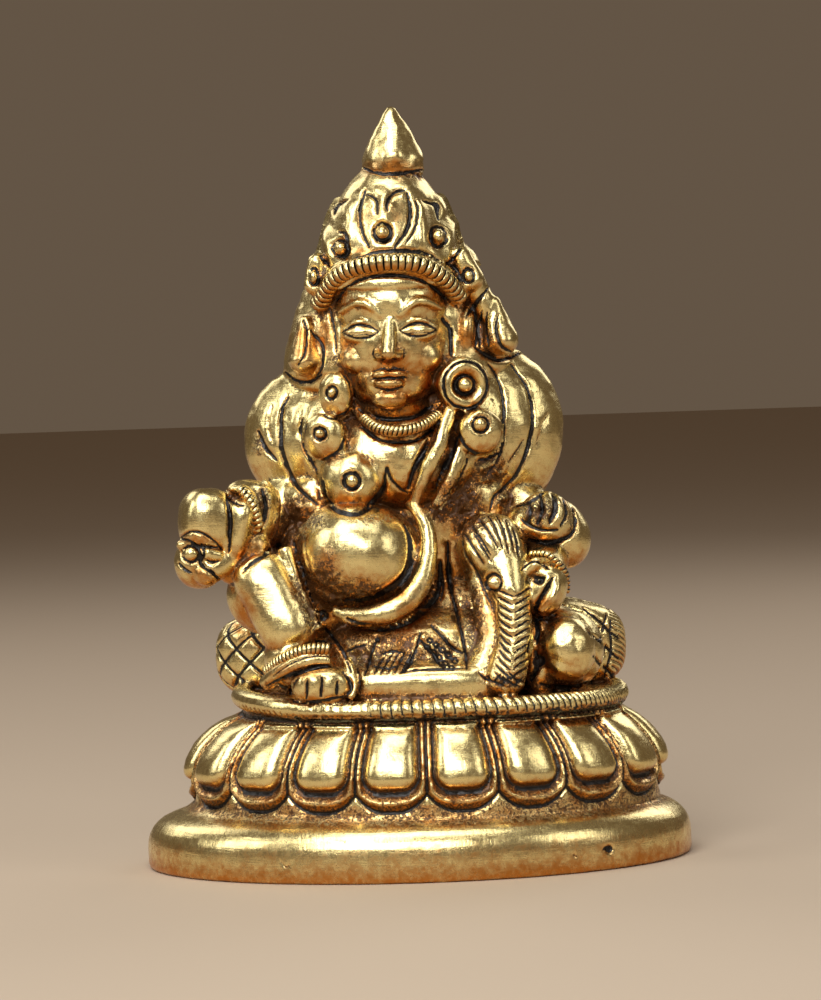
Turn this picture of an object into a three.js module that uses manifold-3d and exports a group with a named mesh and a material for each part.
// A small seated idol with a mongoose, cast in one piece of brass with its lotus plinth.
// Millimetres, +Z up. The figure faces -Y, and +X is on the viewer's right.
// Left and right below are the viewer's. The origin is the middle of the flat underside.
import * as THREE from "three";
import { mergeVertices } from "three/addons/utils/BufferGeometryUtils.js";
import Module from "manifold-3d";

// Driving dimensions
const HEIGHT = 74.6;
const BASE_WIDTH = 54;
const BASE_DEPTH = 38;
const RIM_HEIGHT = 3.8;
const LOTUS_FOOT = 6.2;
const LOTUS_TOP = 15.3;
const SEAT_CORD_HEIGHT = 16;
const SEAT_TOP = 16.5;
const PETALS = 18;
const CROWN_LEAVES = 8;
const HEAD_TURN = 8;

// The lotus and the seat stand a little to the right of the middle of the plinth
const LOTUS = { x: 0.85, halfWidth: 23.2, halfDepth: 16.2 };
const SEAT = { x: 1.5, halfWidth: 18.7, halfDepth: 13.7, squareness: 0.8, cord: 1.05 };
const CROWN = { x: -1, y: 0.4, foot: 57.6, top: 68.3, foldedRadius: 7.8 };
const BOLSTER = { centre: [0.6, 6.6, 20.2], radii: [20.4, 5.6, 5.4] };

// Where the limbs bend
const LEFT = {
  hip: [-5, 0, 25.5],
  knee: [-14.2, -6, 27],
  shin: [-13.6, -8.6, 25.6],
  ankle: [-12, -9.5, 21],
  instep: [-9.2, -11.8, 18.8],
  shoulder: [-9.1, 3, 42.6],
  elbow: [-11.2, 1, 40],
  wrist: [-13.2, -2.6, 35],
  palm: [-16.4, -6, 33],
  citron: [-19.3, -7.4, 34],
};
const RIGHT = {
  hip: [4, 0, 23.5],
  knee: [14.5, -4.5, 20.6],
  shoulder: [8.3, 3, 42],
  upperArm: [9, 2, 38.5],
  elbow: [14.5, -1.2, 31.8],
  wrist: [15, -2.6, 29.9],
  fist: [12.9, -8.2, 27.1],
};

const wasm = await Module();
wasm.setup();

const radians = THREE.MathUtils.degToRad;
const signedPower = (value, power) => Math.sign(value) * Math.abs(value) ** power;
const vector = (point) => new THREE.Vector3(...point);
const profilePoints = (pairs) => pairs.map(([radius, height]) => new THREE.Vector2(radius, height));

// Turns a shape about X, then Y, then Z, in degrees, and moves it to its place
function place(geometry, [x, y, z], turn = [0, 0, 0]) {
  const [aboutX, aboutY, aboutZ] = turn.map(radians);
  const euler = new THREE.Euler(aboutX, aboutY, aboutZ, "ZYX");
  geometry.applyMatrix4(new THREE.Matrix4().makeRotationFromEuler(euler));
  return geometry.translate(x, y, z);
}

// Moves every vertex of a shape to where the function puts it
function reshape(geometry, move) {
  const points = geometry.attributes.position;
  for (let i = 0; i < points.count; i++) {
    points.setXYZ(i, ...move(points.getX(i), points.getY(i), points.getZ(i)));
  }
  return geometry;
}

// A ball with its poles on Z, stretched to its radii. A squareness below 1 pushes it out towards a box.
function pad(centre, radii, { turn, squareness = 1, around = 9, down = 6 } = {}) {
  const geometry = new THREE.SphereGeometry(1, around, down).rotateX(Math.PI / 2);
  reshape(geometry, (...point) => point.map((value) => signedPower(value, squareness)));
  return place(geometry.scale(...radii), centre, turn);
}

function bead(centre, radius) {
  return pad(centre, [radius, radius, radius], { around: 6, down: 5 });
}

// A round-ended limb that tapers from one point to another
function limb(from, to, radiusFrom, radiusTo, sides = 6) {
  const start = vector(from);
  const along = vector(to).sub(start);
  const length = along.length();
  const corner = Math.SQRT1_2;
  const profile = [
    [0, -radiusFrom],
    [radiusFrom * corner, -radiusFrom * corner],
    [radiusFrom, 0],
    [radiusTo, length],
    [radiusTo * corner, length + radiusTo * corner],
    [0, length + radiusTo],
  ];
  const aim = new THREE.Quaternion().setFromUnitVectors(new THREE.Vector3(0, 1, 0), along.normalize());
  const geometry = new THREE.LatheGeometry(profilePoints(profile), sides).applyQuaternion(aim);
  return geometry.translate(start.x, start.y, start.z);
}

// A cord or ridge of round section along a smooth line through the points
function cord(points, radius, steps = 8, sides = 4) {
  const section = new THREE.Shape().absarc(0, 0, radius, 0, 2 * Math.PI);
  const extrudePath = new THREE.CatmullRomCurve3(points.map(vector));
  return new THREE.ExtrudeGeometry(section, { steps, curveSegments: sides / 2, extrudePath });
}

// A form turned round a vertical axis from [radius, height] pairs, stretched to an ellipse
function turned(profile, [x, y], [scaleX, scaleY], sides) {
  const geometry = new THREE.LatheGeometry(profilePoints(profile), sides).rotateX(Math.PI / 2);
  return geometry.scale(scaleX, scaleY, 1).translate(x, y, 0);
}

// A ring of petals as one closed grid. Each petal repeats the columns, and each row climbs the ring.
// A row bows up or down towards the petal's sides, and the lower of row and column sets the relief.
function petalRing(count, columns, rows, surface) {
  const around = count * columns.length;
  const up = rows.length - 1;
  const bowPower = 2.4;
  const grid = new THREE.CylinderGeometry(1, 1, up, around, up).rotateX(Math.PI / 2);
  return reshape(grid, (x, y, z) => {
    const row = rows[Math.round(z + up / 2)];
    const step = Math.round((Math.atan2(x, -y) / (2 * Math.PI)) * around + around) % around;
    const column = columns[step % columns.length];
    const height = row.z + row.bow * Math.abs(2 * column.across) ** bowPower;
    const petal = Math.floor(step / columns.length) + 0.5 + column.across;
    const isCapCentre = Math.hypot(x, y) < 0.5;
    return surface(petal, height, isCapCentre ? null : Math.min(row.out, column.out));
  });
}

// Fraction of a lap, measured along the rim of the lotus from the front, to the ellipse's angle
function lapAngle(lap) {
  const steps = 360;
  const lengths = [0];
  for (let i = 1; i <= steps; i++) {
    const middle = ((i - 0.5) / steps) * 2 * Math.PI;
    const step = Math.hypot(LOTUS.halfWidth * Math.cos(middle), LOTUS.halfDepth * Math.sin(middle));
    lengths.push(lengths[i - 1] + step);
  }
  const wanted = (lap - Math.floor(lap)) * lengths[steps];
  const i = lengths.findIndex((length) => length > wanted);
  const part = (wanted - lengths[i - 1]) / (lengths[i] - lengths[i - 1]);
  return ((i - 1 + part) / steps) * 2 * Math.PI;
}

// A point on the lotus, which narrows towards its top in a convex curve
function onLotus(petal, z, out) {
  if (out === null) return [LOTUS.x, 0, z];
  const widestAt = 8.3;
  const narrowing = 0.225;
  const flare = 1 - narrowing * (Math.max(z - widestAt, 0) / (LOTUS_TOP - widestAt)) ** 2.2;
  const angle = lapAngle(petal / PETALS);
  const [a, b] = [LOTUS.halfWidth * flare + out, LOTUS.halfDepth * flare + out];
  return [LOTUS.x + a * Math.sin(angle), -b * Math.cos(angle), z];
}

// A point on the crown, which narrows slowly, then quickly near its top
function onCrown(bearing, z, out) {
  if (out === null) return [CROWN.x, CROWN.y, z];
  const climbed = Math.max((z - CROWN.foot) / (CROWN.top - CROWN.foot), 0);
  const radius = CROWN.foldedRadius - 2.8 * climbed - 2.4 * climbed ** 4 + out;
  const angle = radians(bearing - HEAD_TURN);
  return [CROWN.x + radius * Math.sin(angle), CROWN.y - radius * Math.cos(angle), z];
}

function plinth() {
  const rim = [
    [0, 0],
    [0.985, 0],
    [1, 0.35],
    [1, RIM_HEIGHT - 0.4],
    [0.965, RIM_HEIGHT + 0.4],
    [0.87, LOTUS_FOOT],
    [0, LOTUS_FOOT + 1],
  ];
  return [turned(rim, [0, 0], [BASE_WIDTH / 2, BASE_DEPTH / 2], 32)];
}

// Each petal is a smooth pad inside a raised rim that is scalloped round its foot
function lotus() {
  const columns = [
    { across: -0.5, out: -0.35 },
    { across: -0.41, out: 0.5 },
    { across: -0.3, out: 0.2 },
    { across: 0, out: 0.95 },
    { across: 0.3, out: 0.2 },
    { across: 0.41, out: 0.5 },
  ];
  const scallop = 1.7;
  const rows = [
    { z: LOTUS_FOOT - 0.6, out: -0.9, bow: 0 },
    { z: LOTUS_FOOT + 0.7, out: 0.45, bow: scallop },
    { z: LOTUS_FOOT + 1.5, out: 0.1, bow: scallop },
    { z: LOTUS_FOOT + 2.9, out: 0.9, bow: scallop },
    { z: LOTUS_TOP - 2.4, out: 0.9, bow: 0 },
    { z: LOTUS_TOP, out: 0.1, bow: 0 },
  ];
  return [petalRing(PETALS, columns, rows, onLotus)];
}

// The slab follows a rounded box in plan, with a cord laid round its edge
function seat() {
  const plan = (angle) => [
    SEAT.x + SEAT.halfWidth * signedPower(Math.sin(angle), SEAT.squareness),
    -SEAT.halfDepth * signedPower(Math.cos(angle), SEAT.squareness),
  ];
  const corners = 20;
  const outline = Array.from({ length: corners }, (_, i) => plan((i / corners) * 2 * Math.PI));
  const slab = new THREE.Shape(outline.map(([x, y]) => new THREE.Vector2(x, y)));
  const thickness = 2;
  const hoopRadius = 2;
  const edge = reshape(new THREE.TorusGeometry(hoopRadius, 1, 5, 28), (x, y, z) => {
    const [planX, planY] = plan(Math.atan2(x, -y));
    const out = (Math.hypot(x, y) - hoopRadius) * SEAT.cord;
    const radial = Math.atan2(planX - SEAT.x, -planY);
    const height = SEAT_CORD_HEIGHT + z * SEAT.cord;
    return [planX + out * Math.sin(radial), planY - out * Math.cos(radial), height];
  });
  const block = new THREE.ExtrudeGeometry(slab, { depth: thickness, bevelEnabled: false });
  return [block.translate(0, 0, SEAT_TOP - thickness), edge];
}

function bolster() {
  return [pad(BOLSTER.centre, BOLSTER.radii, { squareness: 0.6, around: 12, down: 7 })];
}

// One leg stands with its foot on the seat's edge, and the other lies folded across the seat
function legs() {
  const anklet = [
    [-15.2, -9.6, 21.4],
    [-13.6, -12, 21.3],
    [-10.9, -13, 22],
    [-8.4, -12.4, 22.2],
    [-7.4, -10.5, 22],
  ];
  const toes = [-11.1, -9.7, -8.3, -7];
  return [
    limb(LEFT.hip, LEFT.knee, 5.6, 3.9),
    pad(LEFT.shin, [3.6, 3.1, 5.4], { turn: [-18, -20, 0], squareness: 0.72, around: 10 }),
    limb(LEFT.ankle, LEFT.instep, 2.7, 2.1),
    cord(anklet, 0.9, 7),
    ...toes.map((x, i) => pad([x, -13 + 0.25 * i, 18.5], [0.85, 1.9, 1.05], { around: 6, down: 4 })),
    limb(RIGHT.hip, RIGHT.knee, 5.2, 4.2),
    pad([1, -9.6, 18.4], [8.6, 3.6, 2.5], { turn: [8, 0, 0], squareness: 0.75, around: 10, down: 5 }),
    pad([1.5, -3.5, 20.6], [10.5, 7.2, 5], { squareness: 0.8, around: 8, down: 5 }),
  ];
}

function body() {
  const girdle = [
    [0.7, -6, 35],
    [2.3, -6.9, 31.9],
    [2, -7.8, 28.5],
    [-0.4, -9, 25.9],
    [-3.8, -9.6, 24.7],
    [-7.6, -8.8, 24.9],
  ];
  const necklace = [
    [-5.4, -4.2, 45.3],
    [-3.9, -6.2, 44.3],
    [-0.6, -7.8, 42.9],
    [3.1, -6.2, 44.4],
    [4.3, -4.2, 45.5],
  ];
  const scarf = [
    [4.4, -5.4, 44.8],
    [3.2, -7.3, 41.7],
    [1.3, -7.3, 38],
    [-0.4, -6.6, 34.9],
  ];
  const scarfHem = [
    [5.2, -5, 42.2],
    [3.9, -6.3, 38],
    [1.8, -6.6, 35.2],
  ];
  return [
    pad([-0.4, 1.6, 33.5], [11.4, 7, 9.5], { squareness: 0.85, around: 8 }),
    pad([-4.8, -6.1, 30.7], [6.2, 5.9, 4.9], { around: 11, down: 8 }),
    cord(girdle, 0.95, 9),
    pad([-1.2, -0.8, 39.8], [8.8, 6.6, 5.6]),
    pad([-5.2, -3.9, 38.2], [3.6, 3.4, 3.2]),
    bead([-5.5, -7.1, 38.1], 0.8),
    pad([0.8, -3.8, 38.4], [3.3, 3.2, 3]),
    limb([-1.2, -1.6, 42], [-1.1, -1.6, 47], 3.9, 3.7),
    cord(necklace, 0.65, 8, 6),
    cord(scarf, 0.75),
    cord(scarfHem, 0.65, 6),
  ];
}

// Three puffed lobes overlap on each shoulder, each smaller one lying in front of the last
function shoulders() {
  const sides = [
    { centre: RIGHT.shoulder, radii: [7.4, 4.6, 8.7], lean: 6 },
    { centre: LEFT.shoulder, radii: [7.1, 4.6, 7.6], lean: -10 },
  ];
  const layers = [0, 1, 2];
  return sides.flatMap(({ centre: [x, y, z], radii, lean }) =>
    layers.map((layer) => {
      const inward = 1.7 * layer * Math.sign(x);
      const size = radii.map((radius) => radius - 0.8 * layer);
      return pad([x - inward, y - 1.9 * layer, z], size, { turn: [0, lean, 0] });
    }),
  );
}

function arms() {
  const bracelet = (centre, radius, turn) =>
    place(new THREE.CylinderGeometry(radius, radius, 1.3, 8), centre, turn);
  const coarse = { around: 7, down: 5 };
  return [
    limb(LEFT.elbow, LEFT.wrist, 3.6, 3.2),
    limb(LEFT.wrist, LEFT.palm, 3.2, 3),
    bracelet([-14.5, -4, 34.1], 3.6, [-8, 0, -38]),
    pad(LEFT.citron, [3.2, 3, 3.2]),
    pad([-16.2, -7.4, 33.6], [1.9, 2.6, 3], { turn: [0, 12, 0], ...coarse }),
    pad([-20.2, -6.8, 30.7], [2.7, 2.9, 2.6], coarse),
    limb([-16.6, -7.4, 32.2], [-19.4, -9.8, 31.5], 1.3, 0.9),
    limb([-18.6, -7.4, 31], [-21.2, -9.4, 31.6], 1.1, 0.85),
    limb(RIGHT.upperArm, RIGHT.elbow, 3.6, 3.6),
    pad(RIGHT.elbow, [3.5, 3.7, 3.9], { around: 8, down: 5 }),
    pad([13.2, -3.2, 32.9], [2.8, 3, 2.6], coarse),
    limb(RIGHT.wrist, RIGHT.fist, 2.6, 2),
    bracelet([14.2, -5, 28.5], 2.9, [-30, 0, 20]),
    limb([12.6, -9, 27.4], [11, -10.6, 26.3], 0.9, 0.8),
  ];
}

// The mongoose stands head up beside the figure, and a round jewel lies by it
function mongoose() {
  const [neck, chest, foot] = [[7.7, -7.4, 30], [8.9, -10, 24.4], [7.9, -11.2, 18.4]];
  return [
    pad([7.7, -6.2, 31.2], [3.2, 3.6, 3], { turn: [-20, 0, 0] }),
    limb(neck, chest, 2.9, 2.6),
    limb(chest, foot, 2.6, 2.6),
    limb([7.6, -10.3, 21], [4.6, -11.2, 18], 2.2, 1.8),
    bead([7.7, -10.4, 28.1], 0.85),
    pad([14.9, -8, 21.1], [3.2, 3.2, 4], { around: 8 }),
  ];
}

// An ear ornament: a bead inside a raised ring, facing the front with a yaw
function roundel(centre, [halfWidth, halfHeight], yaw) {
  const profile = [
    [0, -3],
    [0.8, -3],
    [1, 0.1],
    [0.8, 0.6],
    [0.55, 0.1],
    [0.33, 0.1],
    [0.2, 0.8],
    [0, 0.9],
  ];
  const disc = new THREE.LatheGeometry(profilePoints(profile), 8).rotateX(Math.PI);
  return place(disc.scale(halfWidth, 1, halfHeight), centre, [0, 0, yaw]);
}

// The face is a plain, calm mask of the usual proportions: half-closed eyes, straight nose, closed lips
function head() {
  const turn = [0, 0, -HEAD_TURN];
  const small = (centre, radii) => pad(centre, radii, { turn, around: 6, down: 5 });
  const brow = (inner, outer, y) => {
    const middle = (inner + outer) / 2;
    return cord([[inner, y, 53.6], [middle, y, 54.5], [outer, y + 1.6, 54]], 0.4, 4);
  };
  return [
    pad([-0.9, -1.2, 51.3], [5.7, 6.3, 6.9], { turn, around: 11, down: 8 }),
    pad([-1.2, -3.2, 47.7], [4, 3.9, 3.2], { turn }),
    limb([-1.3, -6.9, 53.2], [-1.6, -7.9, 50.8], 0.55, 0.95),
    small([-1.6, -7.2, 50.5], [1.5, 0.9, 0.7]),
    small([-1.5, -6.9, 48.3], [1.75, 0.9, 0.5]),
    small([-1.5, -6.7, 47.3], [1.5, 1, 0.55]),
    small([-4.1, -6, 52.5], [1.55, 1, 0.8]),
    small([1.6, -6.3, 52.5], [1.55, 1, 0.8]),
    brow(-2.7, -5.6, -6.3),
    brow(0, 3.3, -6.7),
    pad([-7, -1.2, 51.6], [1, 1.8, 2.9], { turn: [0, -8, 0], around: 6, down: 5 }),
    pad([5.9, -1.6, 51.4], [1, 1.9, 3.1], { turn: [0, 8, 0], around: 6, down: 5 }),
    roundel([-6.9, -4.6, 46.9], [1.5, 2], -28),
    roundel([-7.6, -5.4, 42.7], [2.3, 2.5], -22),
    roundel([5.8, -5, 46.9], [2.3, 2.3], 14),
    roundel([7.2, -5.4, 43], [2.1, 2.4], 18),
  ];
}

// Hair and back-cloth behind the head, a ring of broad leaves with jewels, a corded band and side leaves
function crown() {
  const hood = [
    [0, 46.5],
    [10.6, 47.4],
    [11.6, 49],
    [10.7, 52.6],
    [9.7, 55.8],
    [9.1, 58.2],
    [7.6, 60.8],
    [0, 61],
  ];
  const columns = [
    { across: -0.5, out: -0.6 },
    { across: -0.36, out: 0.45 },
    { across: 0, out: 0.7 },
    { across: 0.36, out: 0.45 },
  ];
  const rows = [
    { z: CROWN.foot, out: -0.2, bow: 0 },
    { z: 59.6, out: 0.4, bow: 0 },
    { z: 63, out: 0.7, bow: 0 },
    { z: 66.4, out: 0.4, bow: -1.2 },
    { z: 66.7, out: -0.6, bow: -1 },
    { z: CROWN.top, out: -0.7, bow: 0 },
  ];
  const leafWidth = 360 / CROWN_LEAVES;
  const onLeaf = (leaf, z, out) => onCrown((leaf - 0.5) * leafWidth, z, out);
  const band = [
    [-7.6, -1.8, 54.3],
    [-6.4, -4.6, 56.6],
    [-4, -6.9, 58.3],
    [-1, -7.6, 58.8],
    [2, -7, 58.5],
    [4.4, -5, 57.1],
    [5.8, -2.2, 54.9],
  ];
  const sideLeaves = [-1, 1].flatMap((side) => [
    pad([side * 9.4 - 0.2, -1.4, 52.9], [1.5, 2.2, 3.3], { turn: [0, side * 14, side * 30], around: 8, down: 5 }),
    pad([side * 8.2 - 0.4, -3.2, 56.9], [1.5, 1.8, 1.7], { turn: [0, side * 10, side * 30], around: 6, down: 4 }),
  ]);
  return [
    turned(hood, [0, 2], [1, 0.62], 14),
    petalRing(CROWN_LEAVES, columns, rows, onLeaf),
    ...[-leafWidth, 0, leafWidth].map((bearing) => bead(onCrown(bearing, 61.4, 0.6), 0.95)),
    cord(band, 0.9, 10),
    ...sideLeaves,
  ];
}

function finial() {
  const profile = [
    [0, 66],
    [2.3, 67],
    [2.2, 68.3],
    [3, 68.8],
    [3.25, 69.6],
    [2.9, 70.4],
    [1.9, 72.2],
    [0.9, 74],
    [0.45, HEIGHT - 0.15],
    [0, HEIGHT],
  ];
  return [turned(profile, [-0.45, 0.5], [1, 1], 12)];
}

// A closed solid for joining, with shared vertices merged and flat triangles dropped
function solid(geometry) {
  const bare = geometry.clone();
  bare.deleteAttribute("normal");
  bare.deleteAttribute("uv");
  const merged = mergeVertices(bare, 1e-4);
  const corners = merged.index.array;
  const triVerts = [];
  for (let i = 0; i < corners.length; i += 3) {
    const [a, b, c] = corners.slice(i, i + 3);
    if (a !== b && b !== c && c !== a) triVerts.push(a, b, c);
  }
  const vertProperties = merged.attributes.position.array;
  return new wasm.Manifold(new wasm.Mesh({ numProp: 3, vertProperties, triVerts: new Uint32Array(triVerts) }));
}

function joined(shapes) {
  const mesh = shapes.map(solid).reduce((whole, shape) => whole.add(shape)).getMesh();
  const geometry = new THREE.BufferGeometry();
  geometry.setAttribute("position", new THREE.BufferAttribute(mesh.vertProperties, 3));
  geometry.setIndex(new THREE.BufferAttribute(mesh.triVerts, 1));
  geometry.computeVertexNormals();
  return geometry;
}

const sections = [plinth, lotus, seat, bolster, legs, body, shoulders, arms, mongoose, head, crown, finial];
const brass = new THREE.MeshStandardMaterial({ color: 0xb99a52, metalness: 1, roughness: 0.35 });
const figure = new THREE.Mesh(joined(sections.flatMap((section) => section())), brass);
figure.name = "kubera_figure";

const group = new THREE.Group();
group.add(figure);
export default group;
